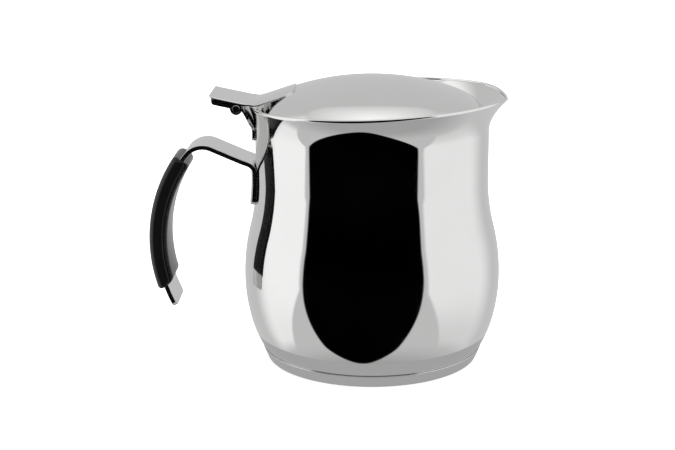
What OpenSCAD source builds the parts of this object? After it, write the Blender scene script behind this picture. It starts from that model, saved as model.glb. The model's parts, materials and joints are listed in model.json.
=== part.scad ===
// Lidded pouring pot with a strap handle, for melting wax.
// Millimetres, +Z up. The origin is the centre of the resting face, on the
// body's axis. The spout points along +X, and the handle along -X.

/* [Body] */
// Outside diameter of the belly
belly_d = 140; // [130:1:150]
// Height of the widest point of the belly
belly_z = 46.5; // [40:0.5:52]
// Outside diameter of the neck
neck_d = 126; // [122:1:130]
// Height at which the shoulder has become the neck
neck_z = 101; // [96:1:106]
// Wall thickness of the drawn body
wall_t = 0.8; // [0.6:0.1:1]
// Mean height of the rim
rim_z = 143.2; // [140:0.1:146]

/* [Mouth] */
// Radius of the rim, which is a circle pushed towards the spout
rim_r = 69.3; // [67:0.1:71]
// How far the rim's circle is pushed towards the spout
rim_shift = 3.4; // [1:0.1:3.6]
// How far the rim rises above its mean at the spout, and drops at the hinge
rim_rise = 3; // [0:0.1:4]
// How far the very tip of the spout droops
rim_droop = 2.1; // [0:0.1:3]
// Height at which the mouth begins to flare
flare_z = 127; // [124:0.5:129]

/* [Base] */
// Height of the steel cap under the body
cap_h = 6.8; // [6.5:0.1:6.8]
// Outside radius of the steel cap at its upper edge
cap_r = 60.8; // [60.8:0.1:61.2]
// How far the cap's side leans in towards its bottom
cap_lean = 22.6; // [20:0.2:25]
// Radius of the cap's lower corner
cap_corner = 1.2; // [1:0.1:2]
// Sheet thickness of the cap
cap_t = 0.5; // [0.4:0.1:0.5]

/* [Lid] */
// Height of the top of the lid
lid_top_z = 154.8; // [154.6:0.1:155]
// Radius of curvature of the crown
crown_r = 143; // [130:1:160]
// Angle at which the crown turns into the shoulder
crown_angle = 19; // [15:0.5:22]
// Radius of the lid's shoulder
shoulder_r = 32; // [25:1:40]
// Outside radius of the lid's edge
lid_r = 62.5; // [61:0.1:62.6]
// Sheet thickness of the lid
lid_t = 0.8; // [0.6:0.1:1]

/* [Thumb lever] */
// Width of the lever and of its tongue
lever_w = 36; // [30:1:40]
// Sheet thickness of the lever
lever_t = 1; // [0.8:0.1:1.1]
// Position of the bend over the rim
bend_x = -63; // [-64:0.1:-62]
// Height of the bend's upper face
bend_z = 142; // [141.9:0.1:142.5]
// Upward slope of the thumb plate
thumb_slope = 12.2; // [12:0.1:16]
// Upward slope of the tongue that lies on the lid
tongue_slope = 19.5; // [19.5:0.1:20]
// Position of the thumb end
thumb_x = -85.9; // [-92:0.1:-82]
// Position of the tongue's tip
tongue_x = -41; // [-46:0.1:-38]

/* [Hinge] */
// Position of the pin
pin_x = -71.4; // [-72.5:0.1:-71]
// Height of the pin
pin_z = 139.9; // [139:0.1:140.5]
// Radius of the pin
pin_r = 1.5; // [1.2:0.1:1.6]
// Running clearance round the pin in the knuckle
pin_gap = 0.05; // [0.02:0.01:0.1]
// Radius of the ears on the lever
ear_r = 3.2; // [2.8:0.1:3.6]
// Outside radius of the bracket's knuckle
knuckle_r = 2.5; // [2.3:0.1:2.5]
// Sheet thickness of the bracket
bracket_t = 1.8; // [1.5:0.1:2]
// Width of the knuckle
knuckle_w = 33; // [28:0.5:33]
// Width of the bracket where it is welded on
bracket_w = 20; // [16:1:24]

/* [Handle] */
// Width of the strap
strap_w = 28; // [24:1:30]
// Thickness of the strap
strap_t = 2.5; // [2:0.1:3]
// Upward slope of the strap as it leaves the neck
strap_slope = 23.5; // [18:0.5:28]
// Radius of the bow that the hand holds
bow_r = 78.4; // [70:0.1:90]
// Centre of the bow, along X
bow_x = -37.5; // [-45:0.1:-30]
// Centre of the bow's height
bow_z = 65.8; // [60:0.1:70]
// Radius of the bend at the top of the handle
top_bend = 11.25; // [9:0.25:14]
// Thickness of the grip
grip_t = 9.8; // [9:0.1:11]
// Width of the grip
grip_w = 31; // [30.5:0.5:34]
// Angle on the bow at which the grip begins, at its top
grip_top = 144.5; // [143.5:0.5:150]
// Angle on the bow at which the grip ends
grip_end = 199; // [190:0.5:202]
// How far the grip's lower end slants
grip_slant = 18; // [0:1:25]

/* [Hidden] */
$fn = 96;

belly_r = belly_d / 2;
neck_r = neck_d / 2;
low_belly_r = 95;      // belly's lower curve
hip_r = 62;            // curve between the belly and the foot
hip_z = 24;            // where those two meet
floor_z = 6.2;         // underside of the body
foot_r = 2.05;         // corner between the floor and the wall
foot_z = floor_z + foot_r;
skirt = 3;             // how far the mouth's ring reaches into the wall
lip_t = 1.4;           // thickness of the rim's edge
flare_power = 1.85;    // how late the flare opens
mouth_steps = 9;       // rings over the height of the flare
mouth_sides = 96;      // facets round the mouth
slot_gap = 0.05;       // gap between the strap and its slot in the grip
tab_end_z = 86.5;      // lower end of the strap on the neck
tab_bend = 5;          // bend between that tab and the sloping stretch
tab_top_z = 108.2;     // where the tab's line meets the sloping line
bow_end = 207;         // angle on the bow at which the strap ends
strap_corner = 3.5;      // rounding of the strap's free corners
flange_h = 4.3;        // depth of the lever's side flanges, under its top
lever_end_r = 3;       // rounding of the thumb end
tongue_end_r = 9;      // rounding of the tongue's tip
head_r = 2;            // the pin's flat riveted heads
head_t = 0.4;
head_gap = 0.05;       // between a head and the ear
leaf_z = 126;          // where the bracket leaves the neck
leaf_r = 22;           // the bracket's outward curve
leaf_end_z = 121;      // lower end of the bracket
disc_gap = 0.05;

// points on an arc, both ends included
function arc(cx, cy, r, a0, a1, n) =
    [for (i = [0:n]) let (a = a0 + (a1 - a0) * i / n) [cx + r * cos(a), cy + r * sin(a)]];

// ---- Body ----

// angles of the curves that meet with a common tangent
hip_a0 = asin((belly_z - hip_z) / low_belly_r);
hip_top_r = belly_r - low_belly_r * (1 - cos(hip_a0));
hip_a1 = asin((sin(hip_a0) + (hip_z - foot_z) / hip_r) / (1 - foot_r / hip_r));
sway_a = 2 * atan((belly_r - neck_r) / (neck_z - belly_z));
sway_r = (neck_z - belly_z) / sin(sway_a) / 2;

// outline of the wall from the foot to z = top, moved inwards by inset
function wall_line(inset, top) = concat(
    arc(hip_top_r - hip_r * cos(hip_a0), hip_z + hip_r * sin(hip_a0),
        hip_r - inset, -hip_a1, -hip_a0, 10),
    arc(belly_r - low_belly_r, belly_z, low_belly_r - inset, -hip_a0, 0, 12),
    arc(belly_r - sway_r, belly_z, sway_r - inset, 0, sway_a, 14),
    arc(neck_r + sway_r, neck_z, sway_r + inset, 180 + sway_a, 180, 14),
    [[neck_r - inset, top]]);

foot_x = hip_top_r - hip_r * cos(hip_a0) + (hip_r - foot_r) * cos(hip_a1);

function reversed(list) = [for (i = [len(list) - 1:-1:0]) list[i]];

module wall_shell() {
    outside = concat([[0, floor_z]], arc(foot_x, foot_z, foot_r, -90, -hip_a1, 6),
                     wall_line(0, flare_z));
    inside = concat(reversed(wall_line(wall_t, flare_z)),
                    arc(foot_x, foot_z, foot_r - wall_t, -hip_a1, -90, 6), [[0, floor_z + wall_t]]);
    rotate_extrude() polygon(concat(outside, inside));
}

// the rim's outline: distance from the axis and height in the direction a
function rim_reach(a) = rim_shift * cos(a) + sqrt(pow(rim_r, 2) - pow(rim_shift * sin(a), 2));
function rim_height(a) = rim_z + rim_rise * cos(a) - rim_droop * pow(max(cos(a), 0), 24);

// a point on the flare's outer face: t runs from 0 at the neck to 1 at the rim
function flare(a, t) = [
    neck_r - 0.05 + (rim_reach(a) - neck_r) * pow(t, flare_power),
    flare_z + (rim_height(a) - flare_z) * t];

// one closed section of the mouth's ring: up the outside and down the inside
function mouth_section(a) = concat(
    [[neck_r - 0.05, flare_z - skirt]],
    [for (i = [0:mouth_steps]) flare(a, i / mouth_steps)],
    [for (i = [mouth_steps:-1:0]) let (t = i / mouth_steps)
        flare(a, t) - [(wall_t - 0.1) * (1 - t) + lip_t * t, -0.2 * lip_t * t]],
    [[neck_r + 0.05 - wall_t, flare_z - skirt]]);

module mouth_ring() {
    n = 2 * mouth_steps + 4;
    points = [for (s = [0:mouth_sides - 1]) let (a = 360 * s / mouth_sides)
              for (p = mouth_section(a)) [p[0] * cos(a), p[0] * sin(a), p[1]]];
    faces = [for (s = [0:mouth_sides - 1]) for (i = [0:n - 1])
             let (u = (s + 1) % mouth_sides, j = (i + 1) % n)
             each [[s * n + i, s * n + j, u * n + i], [s * n + j, u * n + j, u * n + i]]];
    polyhedron(points = points, faces = faces);
}

module pot_body() {
    color("silver") union() {
        wall_shell();
        mouth_ring();
    }
}

// ---- Base ----

// outside radius of the cap at a height, above its corner
function cap_at(z) = cap_r - (cap_h - z) * tan(cap_lean);
cap_corner_x = cap_at(cap_corner * (1 - sin(cap_lean))) - cap_corner * cos(cap_lean);

module base_cap() {
    color("gainsboro") rotate_extrude()
        polygon(concat([[0, 0]],
            arc(cap_corner_x, cap_corner, cap_corner, -90, -cap_lean, 6),
            [[cap_r, cap_h], [cap_r - cap_t / cos(cap_lean), cap_h]],
            arc(cap_corner_x, cap_corner, cap_corner - cap_t, -cap_lean, -90, 6),
            [[0, cap_t]]));
}

module heat_disc() {
    low = cap_t + disc_gap;
    high = floor_z - disc_gap;
    chamfer = 1.1;
    inset = cap_t / cos(cap_lean) + 0.15;
    color("lightgray") rotate_extrude()
        polygon([[0, low], [cap_at(low + chamfer) - inset - chamfer, low],
                 [cap_at(low + chamfer) - inset, low + chamfer],
                 [cap_at(high) - inset, high], [0, high]]);
}

// ---- Handle ----

tab_x = -(neck_r + strap_t / 2);
slope_u = [-cos(strap_slope), sin(strap_slope)];
slope_n = [sin(strap_slope), cos(strap_slope)];
// centre of the bend between the tab and the slope
tab_c = [tab_x - tab_bend,
         tab_top_z + tab_bend * tan(strap_slope) - tab_bend / cos(strap_slope)];
// centre of the top bend: below the slope, and inside the bow's circle
top_from = [tab_x, tab_top_z] - top_bend * slope_n - [bow_x, bow_z];
top_along = top_from * slope_u;
top_s = -top_along + sqrt(pow(top_along, 2) - top_from * top_from + pow(bow_r - top_bend, 2));
top_c = [tab_x, tab_top_z] - top_bend * slope_n + top_s * slope_u;
bow_start = atan2(top_c[1] - bow_z, top_c[0] - bow_x);

// one edge of the strap's side view past the tab's bend, moved off its middle by d
function strap_edge(d) = concat(
    arc(tab_c[0], tab_c[1], tab_bend + d, 90 - strap_slope - 12, 90 - strap_slope, 2),
    arc(top_c[0], top_c[1], top_bend + d, 90 - strap_slope, bow_start, 16),
    arc(bow_x, bow_z, bow_r + d, bow_start, bow_end, 30));

// what is cut away to round the corners of a strap's end; the end's edge lies
// on y = 0 with the strap above it, and the cut runs along z
module end_cut(w, r, depth) {
    linear_extrude(depth) for (s = [0, 1]) mirror([s, 0, 0]) difference() {
        translate([w / 2 - r, -1]) square([r + 1, r + 1]);
        translate([w / 2 - r, r]) circle(r = r);
    }
}

// side view of the tab, which lies on the shoulder and the neck, and of its bend
tab_a = asin((neck_z - tab_end_z) / sway_r);

module tab_profile() {
    sway_x = -(neck_r + sway_r);
    polygon(concat(
        arc(sway_x, neck_z, sway_r, -tab_a, 0, 8),
        arc(tab_c[0], tab_c[1], tab_bend + strap_t / 2, 0, 90 - strap_slope, 8),
        arc(tab_c[0], tab_c[1], tab_bend - strap_t / 2, 90 - strap_slope, 0, 8),
        arc(sway_x, neck_z, sway_r - strap_t, 0, -tab_a, 8)));
}

module handle_strap() {
    color("silver") difference() {
        union() {
            // tab and bend, pressed to the curve of the neck
            intersection() {
                rotate([0, 0, 165]) rotate_extrude(angle = 30) mirror([1, 0]) tab_profile();
                translate([-90, -strap_w / 2, tab_end_z - 5]) cube([60, strap_w, 60]);
            }
            translate([0, strap_w / 2, 0]) rotate([90, 0, 0]) linear_extrude(strap_w)
                polygon(concat(strap_edge(strap_t / 2), reversed(strap_edge(-strap_t / 2))));
        }
        translate([tab_x - 8, 0, tab_end_z]) rotate([90, 0, 90])
            end_cut(strap_w, strap_corner, 16);
        translate([bow_x + (bow_r + 5) * cos(bow_end), 0, bow_z + (bow_r + 5) * sin(bow_end)])
            rotate([0, 180 - bow_end, 0]) rotate([90, 0, 90])
            end_cut(strap_w, strap_corner, 10);
    }
}

module grip_section() {
    r = grip_t / 2;
    difference() {
        union() {
            translate([-r, -(grip_w / 2 - r)]) square([grip_t, grip_w - grip_t]);
            for (s = [-1, 1]) translate([0, s * (grip_w / 2 - r)]) circle(r = r);
        }
        square([strap_t + 2 * slot_gap, strap_w + 2 * slot_gap], center = true);
    }
}

module handle_grip() {
    outer = bow_r + grip_t / 2;
    color("dimgray") difference() {
        translate([bow_x, 0, bow_z]) rotate([90, 0, 0]) rotate([0, 0, grip_top])
            rotate_extrude(angle = grip_end - grip_top) translate([bow_r, 0]) grip_section();
        // the lower end is cut on a slant
        translate([bow_x + outer * cos(grip_end), 0, bow_z + outer * sin(grip_end)])
            rotate([0, 180 - grip_end - grip_slant, 0]) translate([-5, -grip_w, -10])
            cube([40, 2 * grip_w, 10]);
    }
}

// ---- Hinge ----

leaf_x = -(neck_r + bracket_t / 2);
leaf_a = 38;     // how far the leaf has leant out when it meets the knuckle

// side view of the leaf from its weld to the knuckle
module leaf_profile() {
    c = leaf_x - leaf_r;
    polygon(concat(
        arc(c, leaf_z, leaf_r + bracket_t / 2, 0, leaf_a, 10),
        [[pin_x + 1.3, pin_z + 2], [pin_x, pin_z]],
        arc(c, leaf_z, leaf_r - bracket_t / 2, leaf_a, 0, 10)));
}

module hinge_bracket() {
    taper_z = pin_z - knuckle_r - 2;
    color("silver") difference() {
        union() {
            // foot, pressed to the curve of the neck
            intersection() {
                translate([0, 0, leaf_end_z]) difference() {
                    cylinder(r = neck_r + bracket_t, h = leaf_z + 1 - leaf_end_z);
                    translate([0, 0, -1]) cylinder(r = neck_r, h = leaf_z + 3 - leaf_end_z);
                }
                translate([-90, -bracket_w / 2, leaf_end_z]) cube([60, bracket_w, 20]);
            }
            translate([0, knuckle_w / 2, 0]) rotate([90, 0, 0]) linear_extrude(knuckle_w) {
                leaf_profile();
                translate([pin_x, pin_z]) circle(r = knuckle_r);
            }
        }
        translate([pin_x, knuckle_w, pin_z]) rotate([90, 0, 0])
            cylinder(r = pin_r + pin_gap, h = 2 * knuckle_w);
        translate([-80, 0, leaf_end_z]) rotate([90, 0, 90]) end_cut(bracket_w, 3, 30);
        // the leaf narrows towards its weld
        for (s = [-1, 1]) translate([-80, 0, 0]) rotate([90, 0, 90]) linear_extrude(30)
            polygon([[s * bracket_w / 2, leaf_z], [s * knuckle_w / 2, taper_z],
                     [s * (knuckle_w / 2 + 1), taper_z], [s * (knuckle_w / 2 + 1), leaf_z]]);
    }
}

module hinge_pin() {
    half = lever_w / 2;
    color("gray") translate([pin_x, 0, pin_z]) rotate([90, 0, 0]) union() {
        translate([0, 0, -half - 2 * head_gap])
            cylinder(r = pin_r, h = lever_w + 4 * head_gap);
        for (s = [0, 1]) mirror([0, 0, s]) translate([0, 0, half + head_gap])
            rotate_extrude() polygon([[0, 0], [head_r, 0], [head_r, head_t / 2],
                                      [head_r - head_t / 2, head_t], [0, head_t]]);
    }
}

// ---- Lid ----

crown_edge = crown_r * sin(crown_angle);
shoulder_c = [crown_edge - shoulder_r * sin(crown_angle),
              lid_top_z - crown_r + (crown_r - shoulder_r) * cos(crown_angle)];
shoulder_end = acos((lid_r - shoulder_c[0]) / shoulder_r);

// outline of the lid's outer face, moved inwards by d, from the middle out
function lid_line(d) = concat(
    arc(0, lid_top_z - crown_r, crown_r - d, 90, 90 - crown_angle, 12),
    arc(shoulder_c[0], shoulder_c[1], shoulder_r - d, 90 - crown_angle, shoulder_end, 12));

module lid_dome() {
    color("whitesmoke") rotate_extrude()
        polygon(concat(lid_line(0), reversed(lid_line(lid_t))));
}

thumb_z = bend_z + (bend_x - thumb_x) * tan(thumb_slope);
tongue_z = bend_z + (tongue_x - bend_x) * tan(tongue_slope);

// the lever in plan, set in by d: rounded at the thumb, and more so at the tongue
module lever_plan(d) {
    half = lever_w / 2;
    mid_x = (thumb_x + tongue_x) / 2;
    for (end = [[thumb_x + lever_end_r, lever_end_r], [tongue_x - tongue_end_r, tongue_end_r]])
        for (s = [-1, 1]) translate([end[0], s * (half - end[1])]) circle(r = end[1] - d);
    translate([thumb_x + lever_end_r, -half + d])
        square([tongue_x - tongue_end_r - thumb_x - lever_end_r, lever_w - 2 * d]);
    translate([thumb_x + d, -half + lever_end_r])
        square([mid_x - thumb_x, lever_w - 2 * lever_end_r]);
    translate([mid_x, -half + tongue_end_r])
        square([tongue_x - mid_x - d, lever_w - 2 * tongue_end_r]);
}

module thumb_plate() {
    drop = lever_t / cos(thumb_slope);
    translate([0, lever_w / 2, 0]) rotate([90, 0, 0]) linear_extrude(lever_w)
        polygon([[thumb_x, thumb_z], [bend_x + 4, bend_z - 4 * tan(thumb_slope)],
                 [bend_x + 4, bend_z - 4 * tan(thumb_slope) - drop], [thumb_x, thumb_z - drop]]);
}

// the tongue is pressed to a cone that follows the lid; the tip lies on it
module tongue_cone(low, high) {
    rise = tan(tongue_slope);
    rotate([0, 0, 140]) rotate_extrude(angle = 80)
        polygon([[-tongue_x - 1, tongue_z + rise + high], [-bend_x + 6, bend_z - 6 * rise + high],
                 [-bend_x + 6, bend_z - 6 * rise + low], [-tongue_x - 1, tongue_z + rise + low]]);
}

module lever_sheet() {
    drop = lever_t / cos(tongue_slope);
    intersection() {
        union() {
            difference() {
                thumb_plate();
                tongue_cone(-40, -drop);
            }
            difference() {
                tongue_cone(-drop, 0);
                translate([-100, -lever_w, bend_z - 20]) cube([100 + bend_x - 6, 2 * lever_w, 30]);
                // what would hang below the thumb plate
                translate([bend_x, 0, bend_z - lever_t / cos(thumb_slope)])
                    rotate([0, thumb_slope, 0]) translate([-20, -lever_w, -20])
                    cube([26, 2 * lever_w, 20]);
            }
        }
        translate([0, 0, bend_z - 8]) linear_extrude(30) lever_plan(0);
    }
}

// both side flanges, with the ears that hold the pin
module lever_flanges() {
    start = thumb_x + 0.9;
    near = pin_x + ear_r - 0.4;
    function under(x, d) = bend_z + (bend_x - x) * tan(thumb_slope) - d;
    difference() {
        intersection() {
            rotate([90, 0, 0]) translate([0, 0, -lever_w]) linear_extrude(2 * lever_w) union() {
                polygon([[start, under(start, 0.3)], [start, under(start, flange_h - 1)],
                         [start + 1, under(start + 1, flange_h)],
                         [pin_x, under(pin_x, flange_h)], [pin_x, pin_z],
                         [near, pin_z], [near, under(near, 0.3)]]);
                translate([pin_x, pin_z]) circle(r = ear_r);
            }
            translate([0, 0, pin_z - 10]) linear_extrude(30) difference() {
                lever_plan(0);
                lever_plan(lever_t);
            }
        }
        translate([pin_x, lever_w, pin_z]) rotate([90, 0, 0])
            cylinder(r = pin_r, h = 2 * lever_w);
    }
}

module thumb_lever() {
    color("gainsboro") union() {
        difference() {
            lever_sheet();
            // hollow of the lid that the tongue rests on
            rotate_extrude() polygon(concat(lid_line(0), [[0, shoulder_c[1]]]));
        }
        lever_flanges();
    }
}

pot_body();
heat_disc();
base_cap();
handle_strap();
handle_grip();
hinge_bracket();
hinge_pin();
lid_dome();
thumb_lever();
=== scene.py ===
import json
from math import acos, asin, atan, atan2, cos, hypot, pi, radians, sin, sqrt, tan

import bmesh
import bpy
from mathutils import Matrix, Vector


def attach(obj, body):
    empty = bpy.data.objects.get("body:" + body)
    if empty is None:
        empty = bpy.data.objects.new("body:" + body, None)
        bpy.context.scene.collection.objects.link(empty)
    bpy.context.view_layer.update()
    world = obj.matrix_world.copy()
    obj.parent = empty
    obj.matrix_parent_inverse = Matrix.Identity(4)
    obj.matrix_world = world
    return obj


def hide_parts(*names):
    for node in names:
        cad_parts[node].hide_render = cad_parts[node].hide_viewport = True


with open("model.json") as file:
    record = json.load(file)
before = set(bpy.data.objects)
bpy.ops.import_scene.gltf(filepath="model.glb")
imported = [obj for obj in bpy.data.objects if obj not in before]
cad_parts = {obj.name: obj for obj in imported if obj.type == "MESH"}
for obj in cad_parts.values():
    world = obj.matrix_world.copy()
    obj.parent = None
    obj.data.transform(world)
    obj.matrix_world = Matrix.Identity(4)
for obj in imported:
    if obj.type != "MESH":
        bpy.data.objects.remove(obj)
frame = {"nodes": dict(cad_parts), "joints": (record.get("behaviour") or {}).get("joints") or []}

bl_info = {
    "name": "Candle melting pot",
    "version": (1, 0, 0),
    "blender": (4, 5, 0),
    "location": "View3D > Sidebar > Melting pot",
    "description": "Makes a polished pouring pot with a hinged lid and a strap handle",
    "category": "Add Mesh",
}

MM = 0.001
PIN = Vector(frame["joints"][0]["pos_m"])
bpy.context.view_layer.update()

# Takes a shape turned about the Z axis to the pin's place and direction.
ON_PIN = Matrix.Translation(PIN) @ Matrix.Rotation(pi / 2, 4, "X")

# Sockets of a Mix node that mixes colours: its two colours, and its result.
MIX_FIRST, MIX_SECOND, MIX_RESULT = 6, 7, 2


# ---- Settings ----


def length(name, description, default):
    """A length in metres, typed in millimetres."""
    return bpy.props.FloatProperty(
        name=name, description=description, default=default * MM,
        subtype="DISTANCE", unit="LENGTH", precision=5)


def angle(name, description, default):
    """An angle, typed in degrees."""
    return bpy.props.FloatProperty(
        name=name, description=description, default=radians(default),
        subtype="ANGLE", unit="ROTATION")


def share(name, description, default):
    """A number from 0 to 1."""
    return bpy.props.FloatProperty(
        name=name, description=description, default=default, min=0.0, max=1.0, subtype="FACTOR")


def colour(name, description, default):
    """A colour."""
    return bpy.props.FloatVectorProperty(
        name=name, description=description, default=default, size=3, min=0.0, max=1.0,
        subtype="COLOR")


class PotBodySettings(bpy.types.PropertyGroup):
    """Sizes of the drawn body and its mouth."""

    belly: length("Belly radius", "Outside radius at the widest point", 70)
    belly_z: length("Belly height", "Height of the widest point", 46.5)
    low_belly: length("Lower belly curve", "Radius of the curve below the widest point", 95)
    hip: length("Hip curve", "Radius of the curve that runs in to the base", 62)
    hip_z: length("Hip height", "Height where the hip meets the lower belly", 24)
    floor_z: length("Floor height", "Underside of the body's floor", 6.2)
    foot: length("Foot corner", "Radius of the corner between floor and wall", 2.05)
    neck: length("Neck radius", "Outside radius of the neck", 63)
    neck_z: length("Neck height", "Height where the shoulder has become the neck", 101)
    wall: length("Wall", "Thickness of the wall", 0.8)
    flare_z: length("Flare height", "Height where the mouth begins to flare", 127)
    rim_z: length("Rim height", "Mean height of the rim", 143.2)
    rim: length("Rim radius", "Radius of the rim", 69.25)
    rim_shift: length("Rim shift", "How far the rim's circle lies towards the spout", 3.4)
    rim_rise: length("Rim rise", "Rise of the rim at the spout, and its drop at the hinge", 3)
    droop: length("Spout droop", "How far the very tip of the spout droops", 2.1)
    lip: length("Lip", "Width of the rim's rounded edge", 1.4)
    lip_sink: share("Lip sink", "Depth of the lip's centre under the rim, over its width", 0.3)
    band: length("Lip band", "Height of the upright band under the rounded edge", 0.6)
    flare_power: bpy.props.FloatProperty(
        name="Flare curve", description="Exponent of the flare's outline", default=1.85)


class PotBaseSettings(bpy.types.PropertyGroup):
    """Sizes of the cap under the body."""

    radius: length("Radius", "Outside radius of the cap at its upper edge", 60.8)
    lean: angle("Lean", "How far the side leans in towards the bottom", 22.6)
    height: length("Height", "Height of the cap", 6.8)
    corner: length("Corner", "Radius of its lower corner", 1.2)
    sheet: length("Sheet", "Thickness of its sheet", 0.5)


class PotLidSettings(bpy.types.PropertyGroup):
    """Sizes of the lid and its thumb lever."""

    top_z: length("Top", "Height of the top of the lid", 154.8)
    crown: length("Crown curve", "Radius of curvature of the crown", 143)
    crown_angle: angle("Crown angle", "Where the crown turns into the shoulder", 19)
    shoulder: length("Shoulder curve", "Radius of the shoulder", 32)
    edge: length("Edge radius", "Outside radius of the lid", 62.5)
    sheet: length("Lid sheet", "Thickness of the lid", 0.8)
    lever_width: length("Lever width", "Width of the lever and its tongue", 36)
    lever_sheet: length("Lever sheet", "Thickness of the lever", 1)
    bend_x: length("Bend position", "Position of the bend over the rim", -63)
    bend_z: length("Bend height", "Height of the bend's upper face", 142)
    thumb_x: length("Thumb end", "Position of the thumb end", -85.9)
    tongue_x: length("Tongue tip", "Position of the tongue's tip", -41)
    thumb_corner: length("Thumb corner", "Rounding of the thumb end's corners", 3)
    tongue_corner: length("Tongue corner", "Rounding of the tongue's corners", 9)
    thumb_slope: angle("Thumb slope", "Upward slope of the thumb plate", 12.2)
    tongue_slope: angle("Tongue slope", "Upward slope of the tongue", 19.5)
    flange: length("Flange depth", "Depth of the side flanges under the top face", 4.3)
    ear: length("Ear radius", "Radius of the ears round the pin", 3.2)
    fold: length("Fold", "Radius of the fold between the top and a flange", 1)
    crease: length("Crease", "Softness of the bend over the rim", 0.8)


class PotHingeSettings(bpy.types.PropertyGroup):
    """Sizes of the bracket and the pin."""

    pin: length("Pin radius", "Radius of the pin", 1.5)
    head: length("Head radius", "Radius of the riveted heads", 2)
    head_height: length("Head height", "Height of the riveted heads", 0.4)
    knuckle: length("Knuckle radius", "Outside radius of the knuckle", 2.5)
    bore: length("Knuckle bore", "Radius of the knuckle's bore", 1.55)
    knuckle_width: length("Knuckle width", "Width of the knuckle", 33)
    foot_width: length("Foot width", "Width of the leaf where it is welded on", 20)
    leaf: length("Leaf curve", "Radius of the leaf's outward curve", 22)
    leaf_z: length("Leaf height", "Height where the leaf leaves the neck", 126)
    leaf_end_z: length("Leaf end", "Lower end of the leaf", 121)
    leaf_angle: angle("Leaf lean", "How far the leaf leans out at the knuckle", 38)
    sheet: length("Leaf sheet", "Thickness of the leaf", 1.8)


class PotHandleSettings(bpy.types.PropertyGroup):
    """Sizes of the strap and the grip."""

    width: length("Strap width", "Width of the strap", 28)
    sheet: length("Strap thickness", "Thickness of the strap", 2.5)
    corner: length("Corner", "Rounding of the strap's free corners", 3.5)
    tab_end_z: length("Tab end", "Lower end of the tab on the neck", 86.5)
    tab_top_z: length("Tab top", "Height where the tab's line meets the slope", 108.2)
    tab_bend: length("Tab bend", "Radius of the bend above the tab", 5)
    slope: angle("Slope", "Upward slope of the strap as it leaves the neck", 23.5)
    top_bend: length("Top bend", "Radius of the bend at the top", 11.25)
    bow: length("Bow radius", "Radius of the bow that the hand holds", 78.4)
    bow_x: length("Bow centre", "Position of the bow's centre", -37.5)
    bow_z: length("Bow centre height", "Height of the bow's centre", 65.8)
    bow_end: angle("Bow end", "Angle on the bow where the strap ends", 207)
    grip: length("Grip thickness", "Thickness of the grip", 9.8)
    grip_width: length("Grip width", "Width of the grip", 31)
    grip_top: angle("Grip top", "Angle on the bow where the grip begins", 144.5)
    grip_end: angle("Grip end", "Angle on the bow where the grip ends", 199)
    grip_round: length("Grip rounding", "Rounding of the grip's ends", 2.6)
    grip_slant: share("Grip slant", "Slant of the grip's lower end", 0.32)
    slot_gap: length("Slot gap", "Gap between the strap and its slot", 0.05)


class PotFinishSettings(bpy.types.PropertyGroup):
    """Colours and gloss of the finishes."""

    steel: colour("Steel", "Colour of the polished steel", (0.80, 0.80, 0.795))
    steel_rough: share("Steel roughness", "Roughness of the polish", 0.035)
    strip: colour("Strip steel", "Colour of the strap and the hinge", (0.76, 0.76, 0.755))
    strip_rough: share("Strip roughness", "Roughness of the strip's polish", 0.09)
    grip: colour("Grip", "Colour of the grip", (0.004, 0.004, 0.0045))
    grip_rough: share("Grip roughness", "Roughness of the grip", 0.13)
    disc: colour("Disc", "Colour of the sealed aluminium disc", (0.75, 0.76, 0.77))


class PotStageSettings(bpy.types.PropertyGroup):
    """Camera and studio."""

    distance: length("Camera distance", "From the pot's axis, level with the ground", 750)
    height: length("Camera height", "Above the ground", 266.5)
    pitch: angle("Camera pitch", "How far the camera looks down", 14.5)
    lens: bpy.props.FloatProperty(name="Lens", description="Focal length", default=75.28)
    shift: bpy.props.FloatProperty(
        name="Shift", description="Sideways shift of the view", default=-0.0512)
    floor: colour("Floor", "Colour of the floor", (0.93, 0.93, 0.925))


SETTINGS = {
    "pot_body": PotBodySettings,
    "pot_base": PotBaseSettings,
    "pot_lid": PotLidSettings,
    "pot_hinge": PotHingeSettings,
    "pot_handle": PotHandleSettings,
    "pot_finish": PotFinishSettings,
    "pot_stage": PotStageSettings,
}


# ---- Node trees ----


class Num:
    """A number in a node tree, which can be used in arithmetic."""

    def __init__(self, plan, socket):
        self.plan = plan
        self.socket = socket

    def _math(self, operation, first, *others):
        node = self.plan.add("ShaderNodeMath", {"operation": operation},
                             dict(enumerate((first,) + others)))
        return Num(self.plan, node.outputs[0])

    def __add__(self, other):
        return self._math("ADD", self, other)

    def __sub__(self, other):
        return self._math("SUBTRACT", self, other)

    def __mul__(self, other):
        return self._math("MULTIPLY", self, other)

    def __truediv__(self, other):
        return self._math("DIVIDE", self, other)

    def __pow__(self, other):
        return self._math("POWER", self, other)

    def __mod__(self, other):
        return self._math("FLOORED_MODULO", self, other)

    def __radd__(self, other):
        return self._math("ADD", other, self)

    def __rsub__(self, other):
        return self._math("SUBTRACT", other, self)

    def __rmul__(self, other):
        return self._math("MULTIPLY", other, self)

    def __rtruediv__(self, other):
        return self._math("DIVIDE", other, self)

    def __neg__(self):
        return 0.0 - self

    def do(self, operation, *others):
        """Any other Math operation, such as SINE or MAXIMUM."""
        return self._math(operation, self, *others)

    def step(self, low, high):
        """0 below low and 1 above high, with a smooth change between them."""
        node = self.plan.add("ShaderNodeMapRange", {"interpolation_type": "SMOOTHSTEP"},
                             {"Value": self, "From Min": low, "From Max": high})
        return Num(self.plan, node.outputs[0])


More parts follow.
